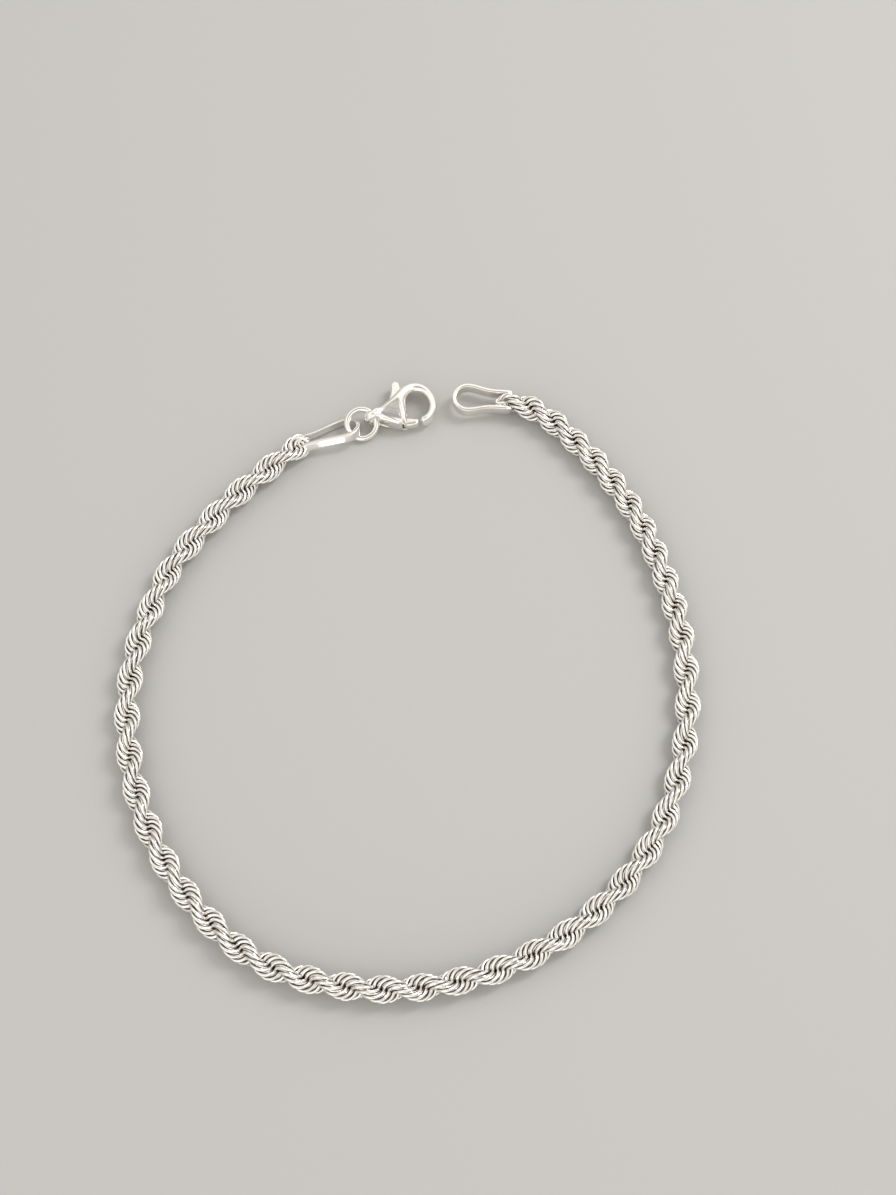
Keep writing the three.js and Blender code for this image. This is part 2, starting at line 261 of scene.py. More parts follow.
# %% Held ends
GRIPS = (0.9, 2.0)            # how far the legs reach along the rope
COVERED = (0.25, 0.9)         # how much of the legs the wide rings lie over
HELD_SIZES = (0.31, 0.48)     # the smallest rings, as a share of a full one
LOOP_HEIGHTS = (1.22, 1.5)    # how high the middle of each loop lies
GROWING = (-0.4, 0.7)         # where the rings grow, past the covered legs
RISING = (0.0, 0.9)           # where the rope reaches its own height


def held_ends(distance):
    """The size of the rings as a share, and the height of their middle, at a distance along the rope."""
    by_clasp = distance < ROPE_LENGTH / 2
    past_legs = np.minimum(distance - GRIPS[0] + COVERED[0], ROPE_LENGTH - distance - GRIPS[1] + COVERED[1])
    held = np.where(by_clasp, *HELD_SIZES)
    size = held + (1 - held) * smoothstep(past_legs, *GROWING)
    loop_z = np.where(by_clasp, *LOOP_HEIGHTS)
    height = loop_z + (ROPE_HEIGHT - loop_z) * smoothstep(past_legs, *RISING)
    return size, height


print("ring sizes over the first 3 mm, as shares:", held_ends(np.arange(0.0, 3.1, 0.5))[0].round(2))

# %% [markdown]
# ## Placing the rings
#
# More than 700 rings made one by one as objects would be slow, so arrays place them all at once. Soldered
# rings never lie quite alike, so each also gets a little chance in its turn, its lean and its distance from
# the middle. A fixed seed gives the same rope at every run. Three stretches of rope make three meshes.

# %% Rings
RING_SEED = 17
TURN_CHANCE = 0.03
LEAN_CHANCE = 0.025
INWARD_CHANCE = 0.012
RING_STEPS = 32
WIRE_SIDES = 8
STRETCHES = 3


def ring_points(numbers):
    """The points of these rings in millimetres, ring after ring."""
    chance = np.random.default_rng(RING_SEED)
    wobble = chance.normal(size=(ring_count, 3))[numbers]
    distance = END_GAP + numbers * RING_RISE
    size, height = held_ends(distance)
    xy, along = rope_place(distance)
    middle = np.column_stack([xy, height])
    along = np.column_stack([along, np.zeros(len(numbers))])
    up = np.array([0.0, 0.0, 1.0])
    side = np.cross(up, along)

    # The ring's own axes: out from the rope's middle, forward in the ring's plane, and normal to the plane.
    angle = np.interp(distance, twist_marks, twist_angles) + numbers * math.pi + TURN_CHANCE * wobble[:, 0]
    cos = np.cos(angle)[:, None]
    sin = np.sin(angle)[:, None]
    out = cos * side + sin * up
    across = -sin * side + cos * up
    lean = (RING_LEAN + LEAN_CHANCE * wobble[:, 1])[:, None]
    normal = np.cos(lean) * across + np.sin(lean) * along
    forward = -np.cos(lean) * along + np.sin(lean) * across
    centre = middle + out * (RING_OFF_MIDDLE * size - INWARD_CHANCE * np.abs(wobble[:, 2]))[:, None]

    # Round the ring, and at each step round the wire.
    round_ring = np.linspace(0, 2 * math.pi, RING_STEPS, endpoint=False)[None, :, None]
    round_wire = np.linspace(0, 2 * math.pi, WIRE_SIDES, endpoint=False)[None, None, :, None]
    radial = np.cos(round_ring) * out[:, None] + np.sin(round_ring) * forward[:, None]
    skin = np.cos(round_wire) * radial[:, :, None] + np.sin(round_wire) * normal[:, None, None]
    line = centre[:, None] + radial * (RING_RADIUS * size)[:, None, None]
    return (line[:, :, None] + skin * WIRE / 2).reshape(-1, 3)


ring_faces = skin_faces(RING_STEPS, WIRE_SIDES, True)
rope_stretches = []
for k, numbers in enumerate(np.array_split(np.arange(ring_count), STRETCHES), 1):
    first_points = RING_STEPS * WIRE_SIDES * np.arange(len(numbers))[:, None, None]
    faces = (ring_faces[None] + first_points).reshape(-1, 4)
    stretch = make_piece(f"rope_rings_{k}", ring_points(numbers), faces)
    rope_stretches.append(stretch)
    print(stretch.name, len(numbers), "rings,", count_triangles(stretch), "triangles")

# %% [markdown]
# ## Solder at the rope's ends
#
# The last rings are run together with solder where a loop's legs hold them. A short drop of metal, wider
# than it is high, fills the room between the legs and thins out among the rings. It is a few oval sections
# in a row along the rope.

# %% Solder drops
SOLDER_WIDTH = 0.9
SOLDER_HEIGHT = 0.7
SOLDER_SIDES = 24
# Each pair is a distance along the rope and the drop's share of its full width there.
SOLDER_PROFILE = [(-0.12, 0.15), (-0.08, 0.6), (0.02, 0.82), (0.2, 0.9), (0.5, 0.88), (0.9, 0.78), (1.3, 0.5)]


def solder_drop(name, from_start):
    """A drop of oval sections at the rope's start or end, with both ends capped."""
    around = np.linspace(0, 2 * math.pi, SOLDER_SIDES, endpoint=False)
    marks = np.array([mark for mark, _ in SOLDER_PROFILE])
    xy, along = rope_place(marks if from_start else ROPE_LENGTH - marks)
    height = LOOP_HEIGHTS[0 if from_start else 1]
    rows = []
    for (_, share), (x, y), (ax, ay) in zip(SOLDER_PROFILE, xy, along):
        wide = share * SOLDER_WIDTH / 2 * np.cos(around)
        high = share * SOLDER_HEIGHT / 2 * np.sin(around)
        rows.append(np.column_stack([x - ay * wide, y + ax * wide, height + high]))
    if not from_start:
        rows.reverse()
    last = (len(rows) - 1) * SOLDER_SIDES
    caps = [range(SOLDER_SIDES - 1, -1, -1), range(last, last + SOLDER_SIDES)]
    return make_piece(name, np.vstack(rows), skin_faces(len(rows), SOLDER_SIDES, False)[:, ::-1], caps)


solder_drops = [solder_drop("solder_clasp_end", True), solder_drop("solder_tail_end", False)]
print([piece.name for piece in solder_drops])

# %% [markdown]
# ## The end loops
#
# Each end loop is flat strip bent to a U and stood on its edge, so from above its edge is a bright line and
# its inner face is dark. First comes the path of its middle: straight along the rope, a smooth bend that
# opens out, and half a circle round the bow. The other half is the same, mirrored.

# %% The path of a loop
STRIP_THICKNESS = 0.52
BOW_EASE = 0.2
NECK_EASE = 0.7
LEG_STEPS = 6
BEND_STEPS = 40
BOW_STEPS = 28


def bezier(points, steps):
    """Points on the curve that two end points and the two handles between them give."""
    a, b, c, d = np.array(points, float)
    t = np.linspace(0, 1, steps)[:, None]
    return (1 - t)**3 * a + 3 * (1 - t)**2 * t * b + 3 * (1 - t) * t**2 * c + t**3 * d


def loop_line(length, grip, bow, neck):
    """The middle of the strip, from the end of one leg round the bow to the other."""
    leg = neck / 2
    bow_middle = STRIP_THICKNESS / 2 + bow / 2
    straight = np.linspace((length + grip, leg), (length, leg), LEG_STEPS)[:-1]
    bend = bezier([(length, leg), (length * NECK_EASE, leg), (bow_middle + length * BOW_EASE, bow / 2),
                   (bow_middle, bow / 2)], BEND_STEPS)[:-1]
    angle = np.linspace(math.pi / 2, math.pi, BOW_STEPS)
    half_bow = np.column_stack([bow_middle + bow / 2 * np.cos(angle), bow / 2 * np.sin(angle)])
    half = np.vstack([straight, bend, half_bow])
    return np.vstack([half, (half * (1, -1))[-2::-1]])


print("a loop's path has", len(loop_line(length=5, grip=1, bow=3, neck=2)), "points")

# %% [markdown]
# ## The strips
#
# Along that path goes the strip's section, a rectangle with its corners rounded by tumbling. A circle whose
# sine and cosine are raised to a small power is such a shape. Each leg closes with two smaller sections and
# a cap. The clasp's loop lies over to one side, and the upper edges of its legs lean towards each other, as
# pliers leave them. The tail's loop stands upright. Lengths are in millimetres and angles in degrees.

# %% End loops
CORNER_POWER = 0.34
STRIP_SIDES = 32
TIP_SHARES = (0.7, 0.96)
LOOPS = {
    "clasp_end_loop": dict(length=6.45, grip=GRIPS[0], bow=3.1, neck=1.9, height=0.96, middle=LOOP_HEIGHTS[0],
                           lean=25, bent=(-10, 14), turn=20, from_start=True),
    "tail_end_loop": dict(length=5.2, grip=GRIPS[1], bow=3.2, neck=2.1, height=1.44, middle=LOOP_HEIGHTS[1],
                          lean=0, bent=(0, 0), turn=176, from_start=False),
}


def strip_loop(name, length, grip, bow, neck, height, middle, lean, bent, turn, from_start):
    """A strip on its path, bent, turned and set on the rope."""
    line = loop_line(length, grip, bow, neck)
    along = np.gradient(line, axis=0)
    along /= np.linalg.norm(along, axis=1, keepdims=True)
    across = np.column_stack([-along[:, 1], along[:, 0]])

    around = np.linspace(0, 2 * math.pi, STRIP_SIDES, endpoint=False)
    soft = [np.sign(f(around)) * np.abs(f(around))**CORNER_POWER for f in (np.cos, np.sin)]
    share = np.ones(len(line))
    share[[0, -1]] = TIP_SHARES[0]
    share[[1, -2]] = TIP_SHARES[1]
    wide = share[:, None] * STRIP_THICKNESS / 2 * soft[0]
    high = share[:, None] * height / 2 * soft[1]
    points = np.dstack([line[:, :1] + across[:, :1] * wide, line[:, 1:] + across[:, 1:] * wide, high])
    points = points.reshape(-1, 3)

    # Each leg leans by its own angle, and the lean passes smoothly from one to the other round the bow.
    leg_lean = np.radians(bent[0] + (bent[1] - bent[0]) * smoothstep(points[:, 1], -neck / 2, neck / 2))
    points[:, 1] -= points[:, 2] * np.sin(leg_lean)
    points[:, 2] *= np.cos(leg_lean)

    # The loop turns to its own direction, and the middle of its grip goes onto the rope.
    turn = math.radians(turn)
    turned_to = Matrix.Rotation(turn + math.pi, 3, "Z") @ Matrix.Rotation(math.radians(lean), 3, "X")
    held_at = grip / 2 if from_start else ROPE_LENGTH - grip / 2
    x, y = rope_place(np.array([held_at]))[0][0]
    reach = length + grip / 2
    place = np.array([x + reach * math.cos(turn), y + reach * math.sin(turn), middle])
    points = points @ np.array(turned_to).T + place
    last = (len(line) - 1) * STRIP_SIDES
    caps = [range(STRIP_SIDES), range(last + STRIP_SIDES - 1, last - 1, -1)]
    return make_piece(name, points, skin_faces(len(line), STRIP_SIDES, False), caps)


loop_strips = {name: strip_loop(name.replace("loop", "strip"), **sizes) for name, sizes in LOOPS.items()}
for strip in loop_strips.values():
    print(strip.name, count_triangles(strip), "triangles")

# %% [markdown]
# ## The jump ring
#
# The jump ring is round wire, soldered shut, and it leans on the strip that hangs from it. It is one circle
# carried round another, which is a torus. Making it here gives the wire enough sides to shine evenly. Its
# place and its two leans are the solid model's.

# %% Jump ring
JUMP_RING = dict(place=(-5.78, 30.94, 1.24), radius=1.74, wire=0.72)
JUMP_RING_LEAN = Matrix.Rotation(math.radians(22), 3, "X") @ Matrix.Rotation(math.radians(6), 3, "Y")
JUMP_RING_STEPS = 120
JUMP_RING_SIDES = 24


def wire_ring(name, place, radius, wire):
    """A leaning ring of round wire, its radius measured to the wire's middle."""
    t, b = np.meshgrid(np.linspace(0, 2 * math.pi, JUMP_RING_STEPS, endpoint=False),
                       np.linspace(0, 2 * math.pi, JUMP_RING_SIDES, endpoint=False), indexing="ij")
    reach = radius + wire / 2 * np.cos(b)
    points = np.dstack([reach * np.cos(t), reach * np.sin(t), wire / 2 * np.sin(b)]).reshape(-1, 3)
    faces = skin_faces(JUMP_RING_STEPS, JUMP_RING_SIDES, True)
    return make_piece(name, points @ np.array(JUMP_RING_LEAN).T + place, faces)


jump_wire = wire_ring("jump_ring_wire", **JUMP_RING)
print(jump_wire.name, count_triangles(jump_wire), "triangles")

# %% [markdown]
# ## The clasp's outlines
#
# A lobster clasp is drawn from above: an oval hook with an oval throat, and a body that narrows to the eye.
# Round stretches are arcs, and a smooth curve through a few points gives the spine and the belly. The
# hook's nose is a small arc that joins the two ovals.

# %% The body's outline
HOOK_OUTER = dict(x=0, y=0.13, rx=2.37, ry=2.82)
HOOK_INNER = dict(x=0, y=-0.03, rx=1.32, ry=1.7)
NOSE = dict(x=0.33, y=-2.17, rx=0.49, ry=0.49)


def arc(x, y, rx, ry, from_deg, to_deg, steps):
    """Points on part of an ellipse about x and y."""
    angle = np.radians(np.linspace(from_deg, to_deg, steps + 1))
    return np.column_stack([x + rx * np.cos(angle), y + ry * np.sin(angle)])


hook = arc(**HOOK_OUTER, from_deg=-76, to_deg=106, steps=90)
spine = smooth_curve([hook[-1], (-1.3, 2.5), (-1.85, 2.12), (-2.75, 1.46), (-3.9, 0.8), (-4.72, 0.4),
                      (-5.3, 0.12)], 8)
belly = smooth_curve([(-5.3, -0.64), (-4.9, -1.04), (-4.34, -1.38), (-3.5, -1.83), (-2.83, -2.13),
                      (-2.25, -2.36), (-1.78, -2.5)], 6)
wall = smooth_curve([(-1.78, -2.5), (-1.68, -1.5), (-1.42, -0.6)], 8)
body_outline = np.vstack([
    arc(**NOSE, from_deg=115, to_deg=250, steps=20), hook, spine[1:], belly, wall[1:],
    arc(**HOOK_INNER, from_deg=176, to_deg=-66, steps=90),
])
print(len(body_outline), "points round the body")

# %% [markdown]
# ## The lever's outline and its slot
#
# The lever runs from the thumb tab, which shows above the spine, down through the body to the arm that
# closes the hook. A round boss holds its rivet. The slot is larger, with room for the lever's whole swing.

# %% The lever's outline
TAB = dict(x=-1.86, y=3.18, rx=0.5, ry=0.5)
BOSS = dict(x=PIVOT[0], y=PIVOT[1], rx=0.62, ry=0.62)
SLOT_END = dict(x=PIVOT[0], y=PIVOT[1], rx=0.78, ry=0.78)

tab = arc(**TAB, from_deg=0, to_deg=180, steps=16)
arm = smooth_curve([(-1.9, -2.48), (-1.3, -2.6), (-0.62, -2.58), (-0.44, -2.36), (-0.36, -2.05),
                    (-0.44, -1.88)], 6)
inner = smooth_curve([(-0.44, -1.88), (-1.5, -1.5), (-1.6, -1.3), (-2.0, -0.95), (-2.05, -0.2), (-1.8, 1.1),
                      (-1.42, 2.3), tab[0]], 6)
back = smooth_curve([tab[-1], (-2.46, 2.75), (-2.72, 2.1), (-3.02, 1.55), (-3.2, 0.4), (-3.32, -1.2)], 6)
boss = arc(**BOSS, from_deg=180, to_deg=275, steps=12)
heel = smooth_curve([boss[-1], (-2.32, -1.9), (-2.2, -2.2), (-1.9, -2.48)], 5)
lever_outline = np.vstack([arm[:-1], inner[:-1], tab[:-1], back[:-1], boss[:-1], heel[:-1]])

slot_round = arc(**SLOT_END, from_deg=175, to_deg=290, steps=12)
slot_outline = np.vstack([
    [(-0.95, 3.6), (-4.6, 3.6), (-4.75, 1.5)], slot_round,
    [(-2.36, -2.2), (-2.36, -3.2), (-0.9, -3.2), (-0.9, -0.45), (-1.95, -0.45), (-1.2, 2.2)],
])
print(len(lever_outline), "points round the lever")

# %% [markdown]
# ## Plates and turned parts
#
# The real parts are cast in silver and tumbled, which melts every edge a little. A bevel on each edge would
# look machined, so another way is used: plain plates, a ring and their cutters first, then booleans, and
# last one soft skin over all of it. A plate is an outline given its thickness. A turned part is a closed
# profile spun round an axis. In these cells a millimetre counts as one unit.

# %% Plates and turned parts


def loose_object(name, points, faces):
    """An object in the scene from points and faces as they are, with nothing moved or scaled."""
    mesh = bpy.data.meshes.new(name)
    mesh.from_pydata([tuple(p) for p in points], [], [list(map(int, f)) for f in faces])
    mesh.update()
    made = bpy.data.objects.new(name, mesh)
    bpy.context.scene.collection.objects.link(made)
    return made


def plate(name, outline, thickness):
    """An outline given its thickness, half of it above the middle and half below."""
    count = len(outline)
    low = np.column_stack([outline, np.full(count, -thickness / 2)])
    high = low + (0, 0, thickness)
    sides = [(i, (i + 1) % count, count + (i + 1) % count, count + i) for i in range(count)]
    faces = [tuple(range(count))[::-1], tuple(range(count, 2 * count)), *sides]
    area = np.sum(outline[:, 0] * np.roll(outline[:, 1], -1) - np.roll(outline[:, 0], -1) * outline[:, 1])
    if area < 0:
        faces = [f[::-1] for f in faces]
    return loose_object(name, np.vstack([low, high]), faces)


def turned(name, profile, axis, place, steps=64):
    """A closed profile of distance from the axis and height along it, turned about that axis."""
    angle = np.linspace(0, 2 * math.pi, steps, endpoint=False)[:, None]
    r, h = np.array(profile, float).T
    flat = [r * np.cos(angle), r * np.sin(angle), np.broadcast_to(h, (steps, len(h)))]
    order = {"Z": (0, 1, 2), "Y": (0, 2, 1)}[axis]
    points = np.dstack([flat[k] for k in order]).reshape(-1, 3) + place
    faces = skin_faces(steps, len(h), True)
    return loose_object(name, points, faces if axis == "Z" else faces[:, ::-1])


print("the clasp's cheeks will stand", CLASP_THICKNESS, "mm apart outside")

# %% [markdown]
# ## From plates to a casting
#
# A boolean joins two meshes or cuts one out of the other. A voxel remesh then turns the result into one
# even skin of small squares, which a few rounds of smoothing can soften. Blender can't make voxels under a
# tenth of a millimetre in a scene in metres, and that is why a millimetre is a whole unit until the end.

# %% Casting helpers
SKIN_STEP = 0.05
TIP = 0.001    # a turned profile starts this far from its axis, so no two of its points fall together


def settle(piece):
    """The piece's modifiers become its mesh."""
    bpy.context.view_layer.update()
    mesh = bpy.data.meshes.new_from_object(piece.evaluated_get(bpy.context.evaluated_depsgraph_get()))
    piece.modifiers.clear()
    piece.data = mesh


def combine(piece, other, operation):
    """The other mesh is joined to the piece or cut out of it, and is gone after that."""
    step = piece.modifiers.new(operation, "BOOLEAN")
    step.operation = operation
    step.object = other
    step.solver = "EXACT"
    settle(piece)
    bpy.data.objects.remove(other)


def even_skin(piece, step):
    """One closed skin over the piece, of squares as large as a step."""
    remesh = piece.modifiers.new("skin", "REMESH")
    remesh.mode = "VOXEL"
    remesh.voxel_size = step
    settle(piece)


def soften(piece, times):
    """Each point moves half way to the middle of its neighbours, a number of times."""
    smooth = piece.modifiers.new("soften", "SMOOTH")
    smooth.factor = 0.5
    smooth.iterations = times
    settle(piece)


def mesh_points(piece):
    """All points of a piece as one array."""
    points = np.empty(len(piece.data.vertices) * 3)
    piece.data.vertices.foreach_get("co", points)
    return points.reshape(-1, 3)


def set_points(piece, points):
    """The piece's points take the places in an array."""
    piece.data.vertices.foreach_set("co", np.ascontiguousarray(points).ravel())
    piece.data.update()


def into_model(piece):
    """From the clasp's own axes in millimetres to the model, in metres."""
    points = mesh_points(piece)
    x, y = on_drawing(points[:, 0], points[:, 1])
    place = np.column_stack([x, y, points[:, 2] + CLASP_THICKNESS / 2]) + np.array(SHIFT)
    set_points(piece, place * MM)
    piece.data.shade_smooth()


print("squares of", SKIN_STEP, "mm in a casting's skin")

# %% [markdown]
# ## The clasp's body
#
# The body starts as one plate with the eye joined on: a short ring that stands on its edge at the tail.
# Three cutters follow. The eye's hole flares to both sides, so the jump ring can swing in it. The slot
# between the cheeks holds the lever. The bore holds the rivet, and stops short of the cheeks' faces.

# %% Body before its crown
SLOT_THICKNESS = 1.24
EYE = dict(place=(-5.3, -0.25, 0), radius=0.95, section=0.42, width=0.55, hole=0.64, flare=0.5, reach=1.4)
EYE_SECTION_STEPS = 24
HOLE_STEPS = 15
BORE = 0.35
BORE_DEPTH = 1.04

clasp_body = plate("clasp_casting", body_outline, CLASP_THICKNESS)
eye_section = arc(EYE["radius"], 0, EYE["section"], EYE["width"], 0, 360, EYE_SECTION_STEPS)[:-1]
combine(clasp_body, turned("eye", eye_section, "Y", EYE["place"]), "UNION")
reach = np.linspace(-EYE["reach"], EYE["reach"], HOLE_STEPS)
flare = np.column_stack([EYE["hole"] + EYE["flare"] * reach**2, reach])
hole_profile = np.vstack([[(TIP, -EYE["reach"])], flare, [(TIP, EYE["reach"])]])
combine(clasp_body, turned("eye_hole", hole_profile, "Y", EYE["place"]), "DIFFERENCE")
combine(clasp_body, plate("slot", slot_outline, SLOT_THICKNESS), "DIFFERENCE")
bore_profile = [(TIP, -BORE_DEPTH), (BORE, -BORE_DEPTH), (BORE, BORE_DEPTH), (TIP, BORE_DEPTH)]
combine(clasp_body, turned("bore", bore_profile, "Z", (*PIVOT, 0)), "DIFFERENCE")
even_skin(clasp_body, SKIN_STEP)
print("the body's skin has", len(clasp_body.data.vertices), "points")

# %% [markdown]
# ## How faces are crowned
#
# A cast face is never flat to its edge: it rolls down like the side of a cushion, and the light rolls with
# it. So each point's height is closed down by how near it lies to the outline. The slot's half thickness is
# left alone as room, or the crown would pinch the lever.

# %% Crown helpers


def edge_distance(points, outline):
    """How far each point lies from the outline, seen from above, a few thousand points at a time."""
    run = np.roll(outline, -1, axis=0) - outline
    nearest = np.full(len(points), np.inf)
    batch = 4000
    for start in range(0, len(points), batch):
        from_corner = points[start:start + batch, None, :2] - outline[None]
        t = np.clip(np.sum(from_corner * run, -1) / np.sum(run * run, -1), 0, 1)
        away = np.linalg.norm(from_corner - t[..., None] * run, axis=-1)
        nearest[start:start + batch] = away.min(axis=1)
    return nearest


def quarter_round(points, outline, roll):
    """0 at the outline, rising on a quarter of a circle to 1 where a point lies a roll's width inside."""
    share = np.clip(edge_distance(points, outline) / roll, 0, 1)
    return np.sqrt(1 - (1 - share)**2)


def crown(points, room, top):
    """Heights between room and the full thickness are closed down to lie between room and top."""
    height = np.abs(points[:, 2])
    share = np.clip((height - room) / (CLASP_THICKNESS / 2 - room), 0, 1)
    raised = np.where(height > room, room + share * (top - room), height)
    return np.column_stack([points[:, :2], np.sign(points[:, 2]) * raised])


def between(pair, share):
    """From the pair's first number, where share is 0, to its second, where share is 1."""
    return pair[0] + (pair[1] - pair[0]) * share


wedge = np.array([(0, -9), (9, 0), (0, 9)], float)
probes = np.array([(0, 0), (0.5, 0), (1, 0)], float)
print("a 1 mm roll at its edge, half way in and at its end:", quarter_round(probes, wedge, 1).round(2))

# %% [markdown]
# ## The body's crown and facet
#
# The body is thickest at its cheeks and thins into the hook. The eye keeps its own round section. The upper
# cheek has a flat facet with three edges, sloping down a few degrees towards the belly. Among so many
# curves it is the one flat face on top, so it mirrors one part of the room and reads as a grey triangle
# with bright edges. Positions are in the clasp's own axes, in millimetres.

# %% Body crown
HOOK_THICKNESS = 1.64
THINNING = (-2.2, 0.4)        # x from the cheeks' full thickness to the hook's
INTO_HOOK = (-0.85, -0.1)     # x from the cheeks' crown to the hook's
ROLLS = (1.0, 0.55)           # how wide the rounding is, in the cheeks and in the hook
EDGES = (0.12, 0.32)          # how high the outline stands, as a share, in the cheeks and in the hook
EYE_ENDS = (-4.9, -4.1)       # x from the eye to the cheeks
EYE_SIDES = (0.45, 0.75)      # y away from the eye's middle, from the eye to the cheeks
FACET = ((-1.8, 1.35), (-5.3, -0.4), (-2.0, -2.9))
FACET_TILT = math.radians(7)
FACET_EDGE = (-0.05, 0.4)     # how far inside the facet's edges it reaches its depth
THINNEST_CHEEK = 0.06
BODY_SOFTENING = 10


def facet_depth(points):
    """How far the facet is sunk at each point: nothing at its top corner, and more towards the belly."""
    within = np.full(len(points), np.inf)
    for start, end in zip(FACET, FACET[1:] + FACET[:1]):
        run = (np.array(end) - start) / math.dist(start, end)
        within = np.minimum(within, run[0] * (points[:, 1] - start[1]) - run[1] * (points[:, 0] - start[0]))
    slope = math.tan(FACET_TILT) * np.clip(FACET[0][1] - points[:, 1], 0, None)
    return slope * smoothstep(within, *FACET_EDGE)


points = mesh_points(clasp_body)
thin = between((1, HOOK_THICKNESS / CLASP_THICKNESS), smoothstep(points[:, 0], *THINNING))
in_hook = smoothstep(points[:, 0], *INTO_HOOK)
rounded = quarter_round(points, body_outline, between(ROLLS, in_hook))
low = between(EDGES, in_hook)
room = (SLOT_THICKNESS / 2) * (1 - in_hook)
full = thin * CLASP_THICKNESS / 2
top = room + (full - room) * (low + (1 - low) * rounded)
off_eye = np.maximum(smoothstep(points[:, 0], *EYE_ENDS),
                     smoothstep(np.abs(points[:, 1] - EYE["place"][1]), *EYE_SIDES))
top = between((CLASP_THICKNESS / 2, top), off_eye)
faceted = np.maximum(top - facet_depth(points), room + THINNEST_CHEEK)
top = np.where(points[:, 2] > 0, faceted, top)
set_points(clasp_body, crown(points, room, top))
soften(clasp_body, BODY_SOFTENING)
into_model(clasp_body)
print(clasp_body.name, count_triangles(clasp_body), "triangles")

# %% [markdown]
# ## The lever and its rivet
#
# The lever is a plate 1 mm thick with a bore for its rivet. It is cast too, so it goes the same way, and
# its edges are thinner than its middle. The rivet is a plain pin through both cheeks. Its ends stop just
# under their faces, because no rivet shows on a clasp whose faces are polished over.

# %% Lever and rivet
LEVER_THICKNESS = 1.0
LEVER_ROLL = 0.4
LEVER_EDGE = 0.62             # the edge's share of the full thickness
LEVER_SKIN_STEP = SKIN_STEP * 0.8
LEVER_SOFTENING = 6
RIVET_RADIUS = 0.335
RIVET_EDGE = 0.03
RIVET_ENDS = (-1.3, 0.94)     # below and above the clasp's middle, where the upper cheek has its facet

lever = plate("lever_casting", lever_outline, LEVER_THICKNESS)
combine(lever, turned("bore", bore_profile, "Z", (*PIVOT, 0)), "DIFFERENCE")
even_skin(lever, LEVER_SKIN_STEP)
points = mesh_points(lever)
points[:, 2] *= between((LEVER_EDGE, 1), quarter_round(points, lever_outline, LEVER_ROLL))
set_points(lever, points)
soften(lever, LEVER_SOFTENING)
into_model(lever)

low, high = RIVET_ENDS
rivet_profile = [(TIP, low), (RIVET_RADIUS - RIVET_EDGE, low), (RIVET_RADIUS, low + RIVET_EDGE),
                 (RIVET_RADIUS, high - RIVET_EDGE), (RIVET_RADIUS - RIVET_EDGE, high), (TIP, high)]
rivet = turned("rivet_pin", rivet_profile, "Z", (*PIVOT, 0))
into_model(rivet)
for piece in (lever, rivet):
    print(piece.name, count_triangles(piece), "triangles")

# %% [markdown]
# ## Colour and nodes
#
# Colours are picked as they look on a screen, in hex, and Blender works in linear light, so one function
# turns them. One more adds a node with its settings and its links, so a finish reads as a short list. A
# last one puts a finish on a piece and says what the piece belongs to.

# %% Material helpers


def linear(hex_colour):
    """A screen colour such as #f4f0ea as linear red, green, blue and alpha."""
    parts = [int(hex_colour[i:i + 2], 16) / 255 for i in (1, 3, 5)]
    return (*[c / 12.92 if c <= 0.04045 else ((c + 0.055) / 1.055)**2.4 for c in parts], 1.0)


def add_node(tree, kind, inputs=None, **settings):
    """A node with its settings. An input is a value, or another node's output to link from."""
    node = tree.nodes.new(kind)
    for name, value in settings.items():
        setattr(node, name, value)
    for name, value in (inputs or {}).items():
        if isinstance(value, bpy.types.NodeSocket):
            tree.links.new(value, node.inputs[name])
        else:
            node.inputs[name].default_value = value
    return node


def new_material(name):
    """A new material, its node tree, and the output node that is all it has."""
    material = bpy.data.materials.new(name)
    material.use_nodes = True
    tree = material.node_tree
    tree.nodes.clear()
    return material, tree, tree.nodes.new("ShaderNodeOutputMaterial")


def finish_with(piece, material, body="bracelet", stands_for=()):
    """A finish on a piece that rides on a body and may stand for nodes, which are then hidden."""
    piece.data.materials.clear()
    piece.data.materials.append(material)
    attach(piece, body)
    if stands_for:
        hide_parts(*stands_for)


print("middle grey in linear light:", round(linear("#808080")[0], 3))

# %% [markdown]
# ## Polished silver
#
# Sterling silver is the whitest metal: it gives nearly all the light back, a little less of the blue. No
# polish is perfect, though. Every finish here is one metal with three sizes of noise: slow waves that bend
# the reflections, patches that are a little duller and darker, and fine marks. Their sizes come from the
# real ones in millimetres. Real polishing marks are about 0.01 mm wide, which can't show, so they are drawn
# coarser.

# %% Silver
SILVER = "#fbf8f4"
DULLED = "#d9d2c8"
# The next colour is painted shade, the dark that the rings' colour takes between the wires.
PAINTED_SHADE = "#2f2a27"
PATCH_TO_WAVE = 2.2           # a dull patch is this many waves across
PATCH_DULL = (0.35, 0.7)      # the patch noise where a finish starts to go dull and where it is dull
PATCH_DARK = (0.45, 0.8)      # the same for its colour
PATCH_DARK_MOST = 0.5
# How far the painted shade between the wires reaches, where it begins and how dark it gets.
PAINTED_SHADE_REACH = 0.3            # how far away, in millimetres, a neighbour still darkens a hollow
PAINTED_SHADE_FROM = (0.55, 0.18)    # open room where the dark begins and where it is full
PAINTED_SHADE_MOST = 0.94


def per_mm(size):
    """The scale of a noise whose marks are this many millimetres across."""
    return 1 / (size * MM)


def mixed(tree, share, first, second):
    """A colour between two, each of them a colour or another node's output."""
    node = add_node(tree, "ShaderNodeMix", data_type="RGBA")
    tree.links.new(share, node.inputs["Factor"])
    for name, value in (("A", first), ("B", second)):
        if isinstance(value, bpy.types.NodeSocket):
            tree.links.new(value, node.inputs[name])
        else:
            node.inputs[name].default_value = value
    return node.outputs["Result"]


def ramp(tree, value, span, to, **settings):
    """A value mapped from one span of numbers to another."""
    numbers = {"From Min": span[0], "From Max": span[1], "To Min": to[0], "To Max": to[1]}
    node = add_node(tree, "ShaderNodeMapRange", {"Value": value, **numbers}, **settings)
    return node.outputs["Result"]


